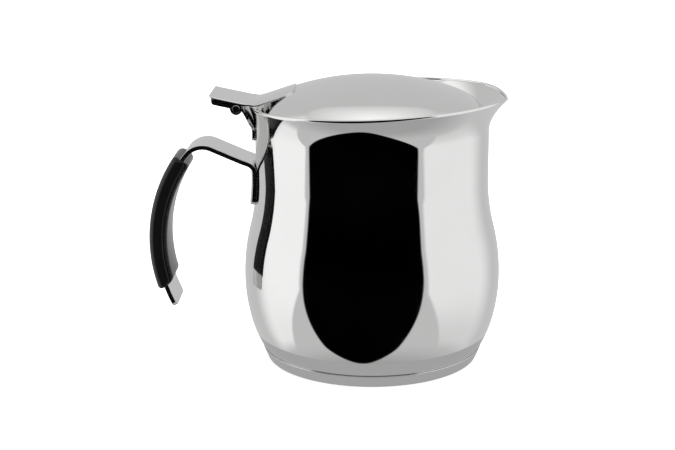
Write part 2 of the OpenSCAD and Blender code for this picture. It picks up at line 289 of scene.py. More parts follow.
class Plan:
    """Adds nodes to a tree and joins them."""

    def __init__(self, tree):
        self.tree = tree

    def add(self, kind, settings=None, sockets=None):
        """One node: its settings first, and then a value or a link for each socket."""
        node = self.tree.nodes.new(kind)
        for name, value in (settings or {}).items():
            setattr(node, name, value)
        for key, value in (sockets or {}).items():
            self.join(value, node.inputs[key])
        return node

    def join(self, value, socket):
        """Links a socket, or sets its value."""
        if isinstance(value, Num):
            value = value.socket
        if isinstance(value, bpy.types.NodeSocket):
            self.tree.links.new(value, socket)
        else:
            socket.default_value = value

    def num(self, socket):
        """The socket as a number that can be used in arithmetic."""
        return Num(self, socket)

    def parts(self, vector):
        """The three numbers of a vector socket."""
        split = self.add("ShaderNodeSeparateXYZ", None, {0: vector})
        return [Num(self, s) for s in split.outputs]

    def vector(self, x, y, z):
        """A vector socket made of three numbers."""
        return self.add("ShaderNodeCombineXYZ", None, {0: x, 1: y, 2: z}).outputs[0]


# ---- Mesh helpers ----


def arc(cx, cy, radius, start, end, steps):
    """Points on an arc, both ends included; the angles are in radians."""
    turns = [start + (end - start) * i / steps for i in range(steps + 1)]
    return [(cx + radius * cos(a), cy + radius * sin(a)) for a in turns]


def straight(a, b, steps):
    """Points between two points, without the first."""
    return [(a[0] + (b[0] - a[0]) * i / steps, a[1] + (b[1] - a[1]) * i / steps)
            for i in range(1, steps + 1)]


def rounded_section(half_width, half_thick, corner, bends, flats=1):
    """Cross-section of a bar: (across, through) points, with bends steps round each corner and
    flats steps along each broad face."""
    flat, deep = half_width - corner, half_thick - corner
    face = [(flat - 2 * flat * i / flats, half_thick) for i in range(1, flats)]
    return (arc(flat, deep, corner, 0, pi / 2, bends) + face
            + arc(-flat, deep, corner, pi / 2, pi, bends)
            + arc(-flat, -deep, corner, pi, 3 * pi / 2, bends)
            + [(-across, -through) for across, through in face]
            + arc(flat, -deep, corner, 3 * pi / 2, 2 * pi, bends))


def smooth_fall(value, low, high):
    """1 below low, 0 above high, and smooth between them."""
    t = min(max((value - low) / (high - low), 0.0), 1.0)
    return 1 - t * t * (3 - 2 * t)


def new_object(name, mesh):
    """An object at the origin that holds the mesh."""
    made = bpy.data.objects.new(name, mesh)
    bpy.context.scene.collection.objects.link(made)
    return made


def face_outwards(mesh):
    """Turns a closed mesh's faces outwards as a whole."""
    shell = bmesh.new()
    shell.from_mesh(mesh)
    if shell.calc_volume(signed=True) < 0:
        bmesh.ops.reverse_faces(shell, faces=shell.faces)
    shell.to_mesh(mesh)
    shell.free()


def loop_mesh(name, loops, cyclic=False):
    """A closed mesh through loops of equal length, capped at its ends unless cyclic."""
    count = len(loops[0])
    points = [p for loop in loops for p in loop]
    faces = []
    for i in range(len(loops) if cyclic else len(loops) - 1):
        a, b = i * count, (i + 1) % len(loops) * count
        for j in range(count):
            k = (j + 1) % count
            faces.append((a + j, a + k, b + k, b + j))
    if not cyclic:
        faces.append(tuple(reversed(range(count))))
        faces.append(tuple(range((len(loops) - 1) * count, len(loops) * count)))
    mesh = bpy.data.meshes.new(name)
    mesh.from_pydata(points, [], faces)
    mesh.validate()
    face_outwards(mesh)
    return mesh


def joined(name, meshes):
    """One mesh from several closed ones."""
    whole = bmesh.new()
    for mesh in meshes:
        whole.from_mesh(mesh)
        bpy.data.meshes.remove(mesh)
    mesh = bpy.data.meshes.new(name)
    whole.to_mesh(mesh)
    whole.free()
    return mesh


def shade(mesh, material, sharp=radians(40)):
    """Smooth shading, with hard edges only where the surface really turns."""
    mesh.materials.clear()
    mesh.materials.append(material)
    for face in mesh.polygons:
        face.use_smooth = True
        face.material_index = 0
    mesh.set_sharp_from_angle(angle=sharp)


def finish(name, mesh, material, slot, body, *nodes, sharp=radians(40)):
    """Makes the finished piece, which stands for its CAD nodes and rides on their body."""
    shade(mesh, material, sharp)
    piece = new_object(name, mesh)
    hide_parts(*nodes)
    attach(piece, body)
    return piece


# ---- Turned shapes ----

FLARE_INPUTS = ("Neck radius", "Flare height", "Rim height", "Rim radius", "Rim shift",
                "Rim rise", "Spout droop", "Flare curve")


def flare_rule(plan, x, y, z, size):
    """Opens the straight neck into the mouth: the wall leans out to a rim circle that lies
    nearer the spout, and rises towards it."""
    radius = (x * x + y * y).do("SQRT").do("MAXIMUM", 1e-6)
    along = x / radius
    across = y / radius
    reach = size["Rim shift"] * along + (
        size["Rim radius"] * size["Rim radius"]
        - (size["Rim shift"] * across) ** 2.0).do("SQRT")
    span = size["Rim height"] - size["Flare height"]
    up = ((z - size["Flare height"]) / span).do("MAXIMUM", 0.0).do("MINIMUM", 1.0)
    dip = size["Spout droop"] * along.do("MAXIMUM", 0.0) ** 24.0
    out = (reach - size["Neck radius"]) * up ** size["Flare curve"]
    return plan.vector(x + along * out, y + across * out,
                       z + (size["Rim rise"] * along - dip) * up)


def turning_tree(name, flared):
    """Turns a line of points about the Z axis; a flared one gets the mouth's rule too."""
    tree = bpy.data.node_groups.new(name, "GeometryNodeTree")
    face = tree.interface
    face.new_socket("Outline", in_out="INPUT", socket_type="NodeSocketGeometry")
    face.new_socket("Sides", in_out="INPUT", socket_type="NodeSocketInt")
    face.new_socket("Finish", in_out="INPUT", socket_type="NodeSocketMaterial")
    for label in FLARE_INPUTS if flared else ():
        face.new_socket(label, in_out="INPUT", socket_type="NodeSocketFloat")
    face.new_socket("Shape", in_out="OUTPUT", socket_type="NodeSocketGeometry")
    plan = Plan(tree)
    given = plan.add("NodeGroupInput").outputs
    sides = plan.num(given["Sides"])
    row = sides + 1.0
    count = plan.add("GeometryNodeAttributeDomainSize", {"component": "MESH"},
                     {0: given["Outline"]}).outputs["Point Count"]
    grid = plan.add("GeometryNodeMeshGrid", None, {"Vertices X": count, "Vertices Y": row})
    index = plan.num(plan.add("GeometryNodeInputIndex").outputs[0])
    which = (index / row + 1e-4).do("FLOOR")
    turn = index % row * (2 * pi) / sides
    place = plan.add("GeometryNodeInputPosition").outputs[0]
    point = plan.add("GeometryNodeSampleIndex", {"data_type": "FLOAT_VECTOR", "domain": "POINT"},
                     {"Geometry": given["Outline"], "Value": place, "Index": which}).outputs[0]
    reach, _, height = plan.parts(point)
    x, y = reach * turn.do("COSINE"), reach * turn.do("SINE")
    spot = plan.vector(x, y, height)
    if flared:
        size = {label: plan.num(given[label]) for label in FLARE_INPUTS}
        spot = flare_rule(plan, x, y, height, size)
    moved = plan.add("GeometryNodeSetPosition", None,
                     {"Geometry": grid.outputs["Mesh"], "Position": spot})
    closed = plan.add("GeometryNodeMergeByDistance", None,
                      {"Geometry": moved.outputs[0], "Distance": 0.00001})
    real = plan.add("GeometryNodeRealizeInstances", None, {0: closed.outputs[0]})
    painted = plan.add("GeometryNodeSetMaterial", None,
                       {"Geometry": real.outputs[0], "Material": given["Finish"]})
    plan.add("NodeGroupOutput", None, {0: painted.outputs[0]})
    return tree


def turned(name, outline, material, sides=192, flare=None):
    """A closed mesh: the outline, (radius, height) pairs, turned about the Z axis."""
    line = bpy.data.meshes.new(name + "_outline")
    line.from_pydata([(r, 0.0, z) for r, z in outline],
                     [(i, i + 1) for i in range(len(outline) - 1)], [])
    holder = new_object(name + "_outline", line)
    tree = turning_tree(name + "_turning", flare is not None)
    modifier = holder.modifiers.new("Turning", "NODES")
    modifier.node_group = tree
    values = {"Sides": sides, "Finish": material, **(flare or {})}
    for item in tree.interface.items_tree:
        if item.in_out == "INPUT" and item.name in values:
            modifier[item.identifier] = values[item.name]
    ready = bpy.context.evaluated_depsgraph_get()
    mesh = bpy.data.meshes.new_from_object(holder.evaluated_get(ready))
    mesh.name = name
    holder.modifiers.remove(modifier)
    bpy.data.objects.remove(holder)
    bpy.data.node_groups.remove(tree)
    face_outwards(mesh)
    return mesh


# ---- Finishes ----


def new_finish(name):
    """A new material, with its plan, its shader and the place on the object."""
    material = bpy.data.materials.new(name)
    material.use_nodes = True
    plan = Plan(material.node_tree)
    where = plan.add("ShaderNodeTexCoord").outputs["Object"]
    return material, plan, material.node_tree.nodes["Principled BSDF"], where


def noise(plan, where, scale, detail, rough=0.5):
    """The value of a noise texture."""
    return plan.num(plan.add("ShaderNodeTexNoise", None, {
        "Vector": where, "Scale": scale, "Detail": detail, "Roughness": rough}).outputs[0])


def toned(plan, amount, tint, times):
    """The tint, which goes over to the tint times a number where the amount is 1."""
    return plan.add("ShaderNodeMix", {"data_type": "RGBA"}, {
        "Factor": amount, MIX_FIRST: (*tint, 1.0),
        MIX_SECOND: (*[c * times for c in tint], 1.0)}).outputs[MIX_RESULT]


def steel(name, tint, rough, grain):
    """Polished steel: a faint cloudiness in the polish, hairline marks, and a slight unevenness
    of the sheet that makes reflections waver."""
    material, plan, shader, where = new_finish(name)
    cloud = noise(plan, where, 38.0, 4.0, 0.6)
    stretched = plan.add("ShaderNodeMapping", None, {
        "Vector": where, "Scale": (260.0, 260.0, 5200.0)}).outputs[0]
    marks = noise(plan, stretched, 1.0, 3.0, 0.7).step(0.60, 0.74)
    plan.join(rough + cloud.step(0.42, 0.75) * (0.45 * rough) + marks * (grain * 0.06),
              shader.inputs["Roughness"])
    waves = noise(plan, where, 9.0, 1.0)
    bump = plan.add("ShaderNodeBump", None, {
        "Strength": 0.25, "Distance": 0.25 * MM, "Height": waves + marks * (grain * 0.004)})
    plan.join(bump.outputs[0], shader.inputs["Normal"])
    tone = toned(plan, cloud.step(0.35, 0.8) * 0.5, tint, 0.96)
    plan.join(tone, shader.inputs["Base Color"])
    shader.inputs["Metallic"].default_value = 1.0
    return material


def grip_plastic(name, tint, rough):
    """Moulded black plastic: a fine even grain, a little dust in it and worn, shinier spots."""
    material, plan, shader, where = new_finish(name)
    grain = noise(plan, where, 1900.0, 3.0, 0.55)
    wear = noise(plan, where, 55.0, 4.0)
    plan.join(rough + grain * 0.05 - wear.step(0.5, 0.8) * 0.07, shader.inputs["Roughness"])
    tone = toned(plan, grain.step(0.45, 0.75) * 0.6, tint, 1.8)
    plan.join(tone, shader.inputs["Base Color"])
    bump = plan.add("ShaderNodeBump", None, {
        "Strength": 0.12, "Distance": 0.05 * MM, "Height": grain})
    plan.join(bump.outputs[0], shader.inputs["Normal"])
    shader.inputs["IOR"].default_value = 1.5
    shader.inputs["Specular IOR Level"].default_value = 0.3
    return material


def sealed_aluminium(name, tint):
    """Plain pressed aluminium with a grey, dull skin."""
    material, plan, shader, where = new_finish(name)
    skin = noise(plan, where, 120.0, 5.0)
    plan.join(0.35 + skin * 0.3, shader.inputs["Roughness"])
    plan.join(toned(plan, skin, tint, 0.8), shader.inputs["Base Color"])
    shader.inputs["Metallic"].default_value = 1.0
    return material


def polished_steel():
    """The body's, base's and lid's finish, made once."""
    look = bpy.context.scene.pot_finish
    return bpy.data.materials.get("mirror_steel") or steel(
        "mirror_steel", look.steel, look.steel_rough, 1.0)


def strip_steel():
    """The finish of the strap, the lever and the hinge, made once."""
    look = bpy.context.scene.pot_finish
    return bpy.data.materials.get("strip_steel") or steel(
        "strip_steel", look.strip, look.strip_rough, 2.0)


# ---- Body ----


def shoulder(size):
    """Turn and radius of the two equal arcs that lead from the belly to the neck."""
    rise = size.neck_z - size.belly_z
    turn = 2 * atan((size.belly - size.neck) / rise)
    return turn, rise / sin(turn) / 2


def wall_line(size, inset):
    """Half-outline of the wall from the foot up to the flare, moved inwards by inset."""
    low = asin((size.belly_z - size.hip_z) / size.low_belly)
    hip_top = size.belly - size.low_belly * (1 - cos(low))
    hip_cx = hip_top - size.hip * cos(low)
    hip_cz = size.hip_z + size.hip * sin(low)
    foot_z = size.floor_z + size.foot
    foot_turn = asin((hip_cz - foot_z) / (size.hip - size.foot))
    sway, bend = shoulder(size)
    foot_x = hip_cx + (size.hip - size.foot) * cos(foot_turn)
    line = arc(foot_x, foot_z, size.foot - inset, -pi / 2, -foot_turn, 8)
    line += arc(hip_cx, hip_cz, size.hip - inset, -foot_turn, -low, 16)[1:]
    line += arc(size.belly - size.low_belly, size.belly_z, size.low_belly - inset,
                -low, 0, 18)[1:]
    line += arc(size.belly - bend, size.belly_z, bend - inset, 0, sway, 24)[1:]
    line += arc(size.neck + bend, size.neck_z, bend + inset, pi + sway, pi, 24)[1:]
    line += straight(line[-1], (size.neck - inset, size.flare_z), 10)
    return line


def body_outline(size):
    """The whole wall: up the outside, over the lip, and down the inside."""
    top = size.rim_z - size.lip_sink * size.lip
    outside = wall_line(size, 0) + straight(
        (size.neck, size.flare_z), (size.neck, top - size.band), 30) + [(size.neck, top)]
    lip = arc(size.neck - size.lip / 2, top, size.lip / 2, 0, pi, 8)[1:]
    inside = wall_line(size, size.wall)
    inner_top = (size.neck - size.lip, top - size.band)
    down = [inner_top] + straight(inner_top, inside[-1], 30) + inside[::-1][1:]
    return [(0.0, size.floor_z)] + outside + lip + down + [(0.0, size.floor_z + size.wall)]


class MakePotBody(bpy.types.Operator):
    """Makes the drawn body with its flared mouth and spout"""

    bl_idname = "pot.make_body"
    bl_label = "Pot body"

    def execute(self, context):
        size = context.scene.pot_body
        flare = {
            "Neck radius": size.neck, "Flare height": size.flare_z,
            "Rim height": size.rim_z - size.lip_sink * size.lip - size.band,
            "Rim radius": size.rim, "Rim shift": size.rim_shift, "Rim rise": size.rim_rise,
            "Spout droop": size.droop, "Flare curve": size.flare_power}
        skin = polished_steel()
        mesh = turned("pot_body_steel", body_outline(size), skin, 256, flare)
        finish("pot_body_steel", mesh, skin, "body_steel", "pot", "pot_body")
        return {"FINISHED"}


class MakePotBase(bpy.types.Operator):
    """Makes the steel cap under the body, and finishes the disc sealed inside it"""

    bl_idname = "pot.make_base"
    bl_label = "Base"

    def execute(self, context):
        size = context.scene.pot_base
        lean, corner, edge = size.lean, size.corner, size.sheet / 2
        reach = size.radius - (size.height - corner * (1 - sin(lean))) * tan(lean)
        middle = reach - corner * cos(lean)
        outwards = Vector((cos(lean), -sin(lean)))
        upwards = Vector((sin(lean), cos(lean)))
        # The rounded upper edge stops short of the body, which leaves the seam.
        seam = 0.5 * edge
        top = Vector((size.radius, size.height)) - edge * outwards - (edge + seam) * upwards
        outline = [(0.0, 0.0)]
        outline += arc(middle, corner, corner, -pi / 2, -lean, 12)
        outline += arc(*top, edge, -lean, pi - lean, 8)
        outline += arc(middle, corner, corner - size.sheet, -lean, -pi / 2, 12)
        outline += [(0.0, size.sheet)]
        skin = polished_steel()
        mesh = turned("base_cap_steel", outline, skin, 256)
        finish("base_cap_steel", mesh, skin, "base_steel", "pot", "base_cap")
        disc = frame["nodes"]["heat_disc"]
        dull = sealed_aluminium("sealed_aluminium", context.scene.pot_finish.disc)
        disc.data.materials.clear()
        disc.data.materials.append(dull)
        return {"FINISHED"}


# ---- Strips of sheet ----

FINEST_STEP = 0.2 * MM

def dense_ends(path, first, last, step):
    """The path in short steps, shorter still near its ends so that they can be rounded."""
    walked = [path[0]]
    for a, b in zip(path, path[1:]):
        walked += straight(a, b, max(1, round(hypot(b[0] - a[0], b[1] - a[1]) / step)))
    made = [walked[0]]
    for a, b in zip(walked, walked[1:]):
        far = hypot(b[0] - a[0], b[1] - a[1])
        near_start = hypot(a[0] - path[0][0], a[1] - path[0][1]) < first
        near_end = hypot(b[0] - path[-1][0], b[1] - path[-1][1]) < last
        pace = FINEST_STEP if near_start or near_end else step
        made += straight(a, b, max(1, round(far / pace)))
    return made


def strip(name, path, width, thick, corner, round_start, round_end, curl=None, steps=14,
          fine_step=1.2 * MM):
    """A strip of sheet along a path in the XZ plane, with its corners rounded at both ends.
    width(x, z) gives its width. curl(across, gone) says how far a point moves along X to follow
    the body it is welded to, where gone is the length along the path."""
    margin = 1.3
    path = dense_ends(path, round_start * margin, round_end * margin, fine_step)
    run = [0.0]
    for a, b in zip(path, path[1:]):
        run.append(run[-1] + hypot(b[0] - a[0], b[1] - a[1]))
    loops = []
    for i, (x, z) in enumerate(path):
        before, after = path[max(i - 1, 0)], path[min(i + 1, len(path) - 1)]
        along = Vector((after[0] - before[0], after[1] - before[1])).normalized()
        half = width(x, z) / 2
        for radius, gone in ((round_start, run[i]), (round_end, run[-1] - run[i])):
            if gone < radius:
                half -= radius - sqrt(max(radius ** 2 - (radius - gone) ** 2, 0.0))
        end = min(run[i], run[-1] - run[i])
        slim = min(thick, 2 * sqrt(max(corner ** 2 - (corner - min(end, corner)) ** 2, 0.0))
                   + thick - 2 * corner)
        soft = min(corner, slim / 2 * 0.98, half * 0.9)
        loop = []
        for across, through in rounded_section(half, slim / 2, soft, 4, steps):
            shift = curl(across, run[i]) if curl else 0.0
            loop.append((x - along[1] * through + shift, across, z + along[0] * through))
        loops.append(loop)
    return loop_mesh(name, loops)


def curl_to_neck(neck, foot, ease):
    """A strip's curl that hugs the round neck along its foot, and fades out over the ease."""
    def curl(across, gone):
        return (neck - sqrt(neck ** 2 - across ** 2)) * smooth_fall(gone, foot, foot + ease)
    return curl


# ---- Handle ----


def handle_path(size, body):
    """The strap's middle line, up the shoulder and the neck and round to the bow's end, and the
    length of its tab."""
    _, bend = shoulder(body)
    tab_x = -(body.neck + size.sheet / 2)
    tab_c = (tab_x - size.tab_bend,
             size.tab_top_z + size.tab_bend * (tan(size.slope) - 1 / cos(size.slope)))
    start = Vector((tab_x, size.tab_top_z)) - size.top_bend * Vector(
        (sin(size.slope), cos(size.slope)))
    along = Vector((-cos(size.slope), sin(size.slope)))
    start_in_bow = start - Vector((size.bow_x, size.bow_z))
    lead = start_in_bow.dot(along)
    travel = -lead + sqrt(lead ** 2 - start_in_bow.length_squared
                          + (size.bow - size.top_bend) ** 2)
    top_c = start + travel * along
    bow_start = atan2(top_c[1] - size.bow_z, top_c[0] - size.bow_x)
    tab_turn = asin((body.neck_z - size.tab_end_z) / bend)
    path = arc(-(body.neck + bend), body.neck_z, bend - size.sheet / 2, -tab_turn, 0, 12)
    path.append((tab_x, tab_c[1]))
    path += arc(*tab_c, size.tab_bend, 0, pi / 2 - size.slope, 10)[1:]
    path += arc(*top_c, size.top_bend, pi / 2 - size.slope, bow_start, 20)
    path += arc(size.bow_x, size.bow_z, size.bow, bow_start, size.bow_end, 48)[1:]
    return path, tab_c[1] - size.tab_end_z


class MakePotStrap(bpy.types.Operator):
    """Makes the strap, from its welded tab round to its free end"""

    bl_idname = "pot.make_strap"
    bl_label = "Handle strap"

    def execute(self, context):
        size = context.scene.pot_handle
        body = context.scene.pot_body
        path, tab = handle_path(size, body)
        mesh = strip("handle_strap_steel", path, lambda x, z: size.width, size.sheet,
                     corner=0.3 * MM, round_start=size.corner, round_end=size.corner,
                     curl=curl_to_neck(body.neck, tab, ease=9 * MM))
        finish("handle_strap_steel", mesh, strip_steel(), "strap_steel", "pot", "handle_strap")
        return {"FINISHED"}


def grip_loop(size, turn, half_thick, half_width, slant):
    """One loop of the grip round the bow: a rounded section, seen along the bow."""
    corner = min(half_thick, half_width) * 0.97
    loop = []
    for across, through in rounded_section(half_width, half_thick, corner, 8):
        at = turn + slant * through / size.bow
        reach = size.bow + through
        loop.append((size.bow_x + reach * cos(at), across, size.bow_z + reach * sin(at)))
    return loop


def grip_stations(size):
    """Where the grip's loops lie on the bow, with half its thickness and half its width there:
    along the outside with its rounded ends, and back through the slot."""
    thick, wide = size.grip / 2, size.grip_width / 2
    bends, lengths, slot_lengths = 6, 60, 20
    side_share = 0.4
    span = size.grip_end - size.grip_top
    round_turn = size.grip_round / size.bow
    first, last = [], []
    for i in range(bends + 1):
        bend = pi / 2 * i / bends
        inset, back = size.grip_round * (1 - sin(bend)), round_turn * (1 - cos(bend))
        first.append((size.grip_top + back, thick - inset, wide - side_share * inset))
        last.append((size.grip_end - back, thick - inset, wide - side_share * inset))
    middle = [(size.grip_top + round_turn + (span - 2 * round_turn) * i / lengths, thick, wide)
              for i in range(1, lengths)]
    slot = [(size.grip_end - span * i / slot_lengths, size.sheet / 2 + size.slot_gap,
             size.width / 2 + size.slot_gap) for i in range(slot_lengths + 1)]
    return first + middle + last[::-1] + slot


class MakePotGrip(bpy.types.Operator):
    """Makes the black sleeve that the strap passes through"""

    bl_idname = "pot.make_grip"
    bl_label = "Handle grip"

    def execute(self, context):
        size = context.scene.pot_handle
        look = context.scene.pot_finish
        slant_start = size.grip_end - 0.4
        loops = []
        for turn, half_thick, half_width in grip_stations(size):
            slant = size.grip_slant * (1 - smooth_fall(turn, slant_start, size.grip_end))
            loops.append(grip_loop(size, turn - slant * size.grip / 2 / size.bow,
                                   half_thick, half_width, slant))
        mesh = loop_mesh("handle_grip_plastic", loops, cyclic=True)
        plastic = grip_plastic("grip_plastic", look.grip, look.grip_rough)
        finish("handle_grip_plastic", mesh, plastic, "grip_plastic", "pot", "handle_grip",
               sharp=radians(50))
        return {"FINISHED"}


# ---- Hinge ----


class MakePotBracket(bpy.types.Operator):
    """Makes the welded leaf and the knuckle that carries the pin"""

    bl_idname = "pot.make_bracket"
    bl_label = "Hinge bracket"

    def execute(self, context):
        size = context.scene.pot_hinge
        neck = context.scene.pot_body.neck
        leaf_x = -(neck + size.sheet / 2)
        path = [(leaf_x, size.leaf_end_z), (leaf_x, size.leaf_z)]
        path += arc(leaf_x - size.leaf, size.leaf_z, size.leaf, 0, size.leaf_angle, 14)[1:]
        # The leaf's end runs on into the knuckle, and it is at full width before that.
        end_x, end_z = path[-1]
        path.append((end_x - 1.4 * MM, end_z + 1.3 * MM))
        wide_z = PIN[2] - size.knuckle - 2 * MM

        def leaf_width(x, z):
            near = smooth_fall(z, size.leaf_z, wide_z)
            return size.knuckle_width + (size.foot_width - size.knuckle_width) * near

        foot = size.leaf_z - size.leaf_end_z
        leaf = strip("leaf", path, leaf_width, size.sheet, corner=0.45 * MM,
                     round_start=3 * MM, round_end=0.01 * MM,
                     curl=curl_to_neck(neck, foot, ease=6 * MM))
        half = size.knuckle_width / 2
        soft = 0.25 * MM
        tube = arc(size.knuckle - soft, half - soft, soft, 0, pi / 2, 4)
        tube += arc(size.bore + soft, half - soft, soft, pi / 2, pi, 4)
        tube += [(r, -h) for r, h in tube[::-1]]
        tube.append(tube[0])
        knuckle = turned("knuckle", tube, strip_steel(), 64)
        knuckle.transform(ON_PIN)
        mesh = joined("hinge_bracket_steel", [leaf, knuckle])
        finish("hinge_bracket_steel", mesh, strip_steel(), "hinge_steel", "pot",
               "hinge_bracket")
        return {"FINISHED"}


class MakePotPin(bpy.types.Operator):
    """Makes the hinge pin with its two riveted heads"""

    bl_idname = "pot.make_pin"
    bl_label = "Hinge pin"

    def execute(self, context):
        size = context.scene.pot_hinge
        play, soft = 0.05 * MM, 0.15 * MM
        half = context.scene.pot_lid.lever_width / 2 + play
        head = [(size.pin, half)]
        head += arc(size.head - soft, half + soft, soft, -pi / 2, 0, 4)
        head += arc(size.head - soft, half + size.head_height - soft, soft, 0, pi / 2, 4)
        head += [(0.0, half + size.head_height)]
        outline = [(r, -h) for r, h in head[::-1]] + head
        mesh = turned("hinge_pin_steel", outline, strip_steel(), 48)
        mesh.transform(ON_PIN)
        finish("hinge_pin_steel", mesh, strip_steel(), "pin_steel", "lid", "hinge_pin")
        return {"FINISHED"}


# ---- Lid ----

# From the thumb end to the flanges, the length of their rounded front end, how far they start
# under the fold, the last bit of the ear, and a thickness too small to see.
FLANGE_START = 0.9 * MM
FLANGE_NOSE = 2 * MM
FLANGE_LAP = 0.3 * MM
EAR_TIP = 0.4 * MM
HAIR = 0.01 * MM


def lid_line(size, inset):
    """Half-outline of the lid from its middle to its edge, moved inwards by inset."""
    centre_z = size.top_z - size.crown
    rest = pi / 2 - size.crown_angle
    shoulder_x = (size.crown - size.shoulder) * sin(size.crown_angle)
    shoulder_z = centre_z + (size.crown - size.shoulder) * cos(size.crown_angle)
    end = acos((size.edge - shoulder_x) / size.shoulder)
    return (arc(0, centre_z, size.crown - inset, pi / 2, rest, 28)
            + arc(shoulder_x, shoulder_z, size.shoulder - inset, rest, end, 24)[1:], end)


class MakePotLid(bpy.types.Operator):
    """Makes the domed lid"""

    bl_idname = "pot.make_lid"
    bl_label = "Lid"

    def execute(self, context):
        size = context.scene.pot_lid
        outer, end = lid_line(size, 0)
        inner, _ = lid_line(size, size.sheet)
        a, b = Vector(outer[-1]), Vector(inner[-1])
        middle, half = (a + b) / 2, size.sheet / 2
        edge = arc(middle[0], middle[1], half, end, end - pi, 8)[1:-1]
        back = half * Vector((sin(end), -cos(end)))
        edge = [(x - back[0], z - back[1]) for x, z in edge]
        outer[-1] = tuple(a - back)
        inner[-1] = tuple(b - back)
        skin = polished_steel()
        mesh = turned("lid_dome_steel", outer + edge + inner[::-1], skin, 224)
        finish("lid_dome_steel", mesh, skin, "lid_steel", "lid", "lid_dome")
        return {"FINISHED"}


def lever_top(size, x, y):
    """Height of the lever's upper face: the sloping thumb plate runs over into the tongue,
    which is pressed to a cone that follows the lid, and its sides fold into the flanges."""
    plate = size.bend_z + (size.bend_x - x) * tan(size.thumb_slope)
    cone = size.bend_z + (-size.bend_x - hypot(x, y)) * tan(size.tongue_slope)
    height = (plate + cone + hypot(plate - cone, size.crease)) / 2
    into = abs(y) - size.lever_width / 2 + size.fold
    if into > 0:
        fall = size.fold - sqrt(max(size.fold ** 2 - into ** 2, 0.0))
        height -= fall * smooth_fall(x, PIN[0] + size.ear, size.bend_x - 1 * MM)
    return height


def flange_section(x, side, size):
    """One section of a flange at x: a rounded rectangle that reaches down to the ear. It starts
    just under the fold, its front end is rounded, and it ends as the tip of the ear's circle."""
    plane = size.bend_z + (size.bend_x - x) * tan(size.thumb_slope)
    gone = x - size.thumb_x
    nose = sqrt(max(1 - (1 - min((gone - FLANGE_START) / FLANGE_NOSE, 1.0)) ** 2, 0.0))
    top = plane - size.fold - FLANGE_LAP
    low = top - FLANGE_LAP - (size.flange - size.fold - 2 * FLANGE_LAP) * nose
    off = x - PIN[0]
    lobe = sqrt(max(size.ear ** 2 - off ** 2, 0.0))
    if abs(off) < size.ear:
        low = min(low, PIN[2] - lobe)
    if off > size.ear - EAR_TIP:
        top, low = PIN[2] + lobe + HAIR, PIN[2] - lobe - HAIR
    end = size.thumb_corner
    turned_in = end - sqrt(max(end ** 2 - max(end - gone, 0.0) ** 2, 0.0))
    outer = size.lever_width / 2 - 2 * HAIR - turned_in
    thick = size.lever_sheet
    soft = min(0.2 * MM, (top - low) * 0.4)
    middle_y, middle_z = outer - thick / 2, (top + low) / 2
    return [(x, side * (middle_y + across), middle_z + through)
            for across, through in rounded_section(thick / 2, (top - low) / 2, soft, 8)]


class MakePotLever(bpy.types.Operator):
    """Makes the thumb lever, whose tongue is welded to the lid"""

    bl_idname = "pot.make_lever"
    bl_label = "Thumb lever"

    def execute(self, context):
        size = context.scene.pot_lid
        down = size.lever_sheet / 2 / cos(size.tongue_slope)
        path = [(size.thumb_x, -down), (size.tongue_x, -down)]
        sheet = strip("lever_sheet", path, lambda x, z: size.lever_width, 2 * down,
                      corner=0.3 * MM, round_start=size.thumb_corner,
                      round_end=size.tongue_corner, steps=40, fine_step=0.5 * MM)
        for point in sheet.vertices:
            point.co.z += lever_top(size, point.co.x, point.co.y)
        first = size.thumb_x + FLANGE_START + 5 * HAIR
        ear_start = PIN[0] - size.ear
        stations = [first + (ear_start - first) * i / 40 for i in range(40)]
        stations += [PIN[0] - (size.ear - HAIR) * cos(pi * i / 48) for i in range(48)]
        stations.append(PIN[0] + size.ear - 2 * HAIR)
        sides = [loop_mesh("flange", [flange_section(x, side, size) for x in stations])
                 for side in (-1, 1)]
        mesh = joined("thumb_lever_steel", [sheet] + sides)
        finish("thumb_lever_steel", mesh, strip_steel(), "lever_steel", "lid", "thumb_lever")
        return {"FINISHED"}


# ---- Stage ----


def studio_light(turn, lift):
    """Brightness of the studio in a direction. turn is the angle to the right of the way back
    to the camera, and lift the angle above the horizon, both in degrees."""
    # The dark room behind the camera is oval below its level, upright above it, and ends in a
    # soft edge under the overhead screen.
    level, depth, middle, half_width, skew = -4.0, 60.0, -8.5, 54.5, 4.0
    down = ((lift - level) / depth).do("MINIMUM", 0.0)
    side = (turn - middle - down * skew) / half_width
    oval = side * side + down * down
    room = (1.0 - oval.step(0.97, 1.03)) * (1.0 - lift.step(18.0, 26.0))

    # The side screens have sharp inner edges, which part below the horizon, and soft outer ones.
    slant = (-lift - 11.0).do("MAXIMUM", 0.0) * 0.8
    lower = lift.step(-46.0, -36.0)
    left = turn.step(-132.0, -104.0) * (1.0 - (turn + slant).step(-68.0, -65.0)) * lower
    right = (turn - slant).step(48.0, 52.0) * (1.0 - turn.step(108.0, 140.0)) * lower

    # Grey all round, darker straight below; each screen takes its place, a little brighter
    # towards its top.
    light = 0.42 + 0.19 * lift.step(-66.0, -40.0)
    rise = lift.step(-38.0, -12.0)
    light = light + (0.98 + 0.10 * rise - light) * left
    light = light + (0.76 + 0.19 * rise - light) * right
    overhead = 0.70 + 0.50 * (lift - 52.0) / 38.0
    light = light + (overhead - light) * lift.step(50.0, 54.0)
    return light * (1.0 - room)


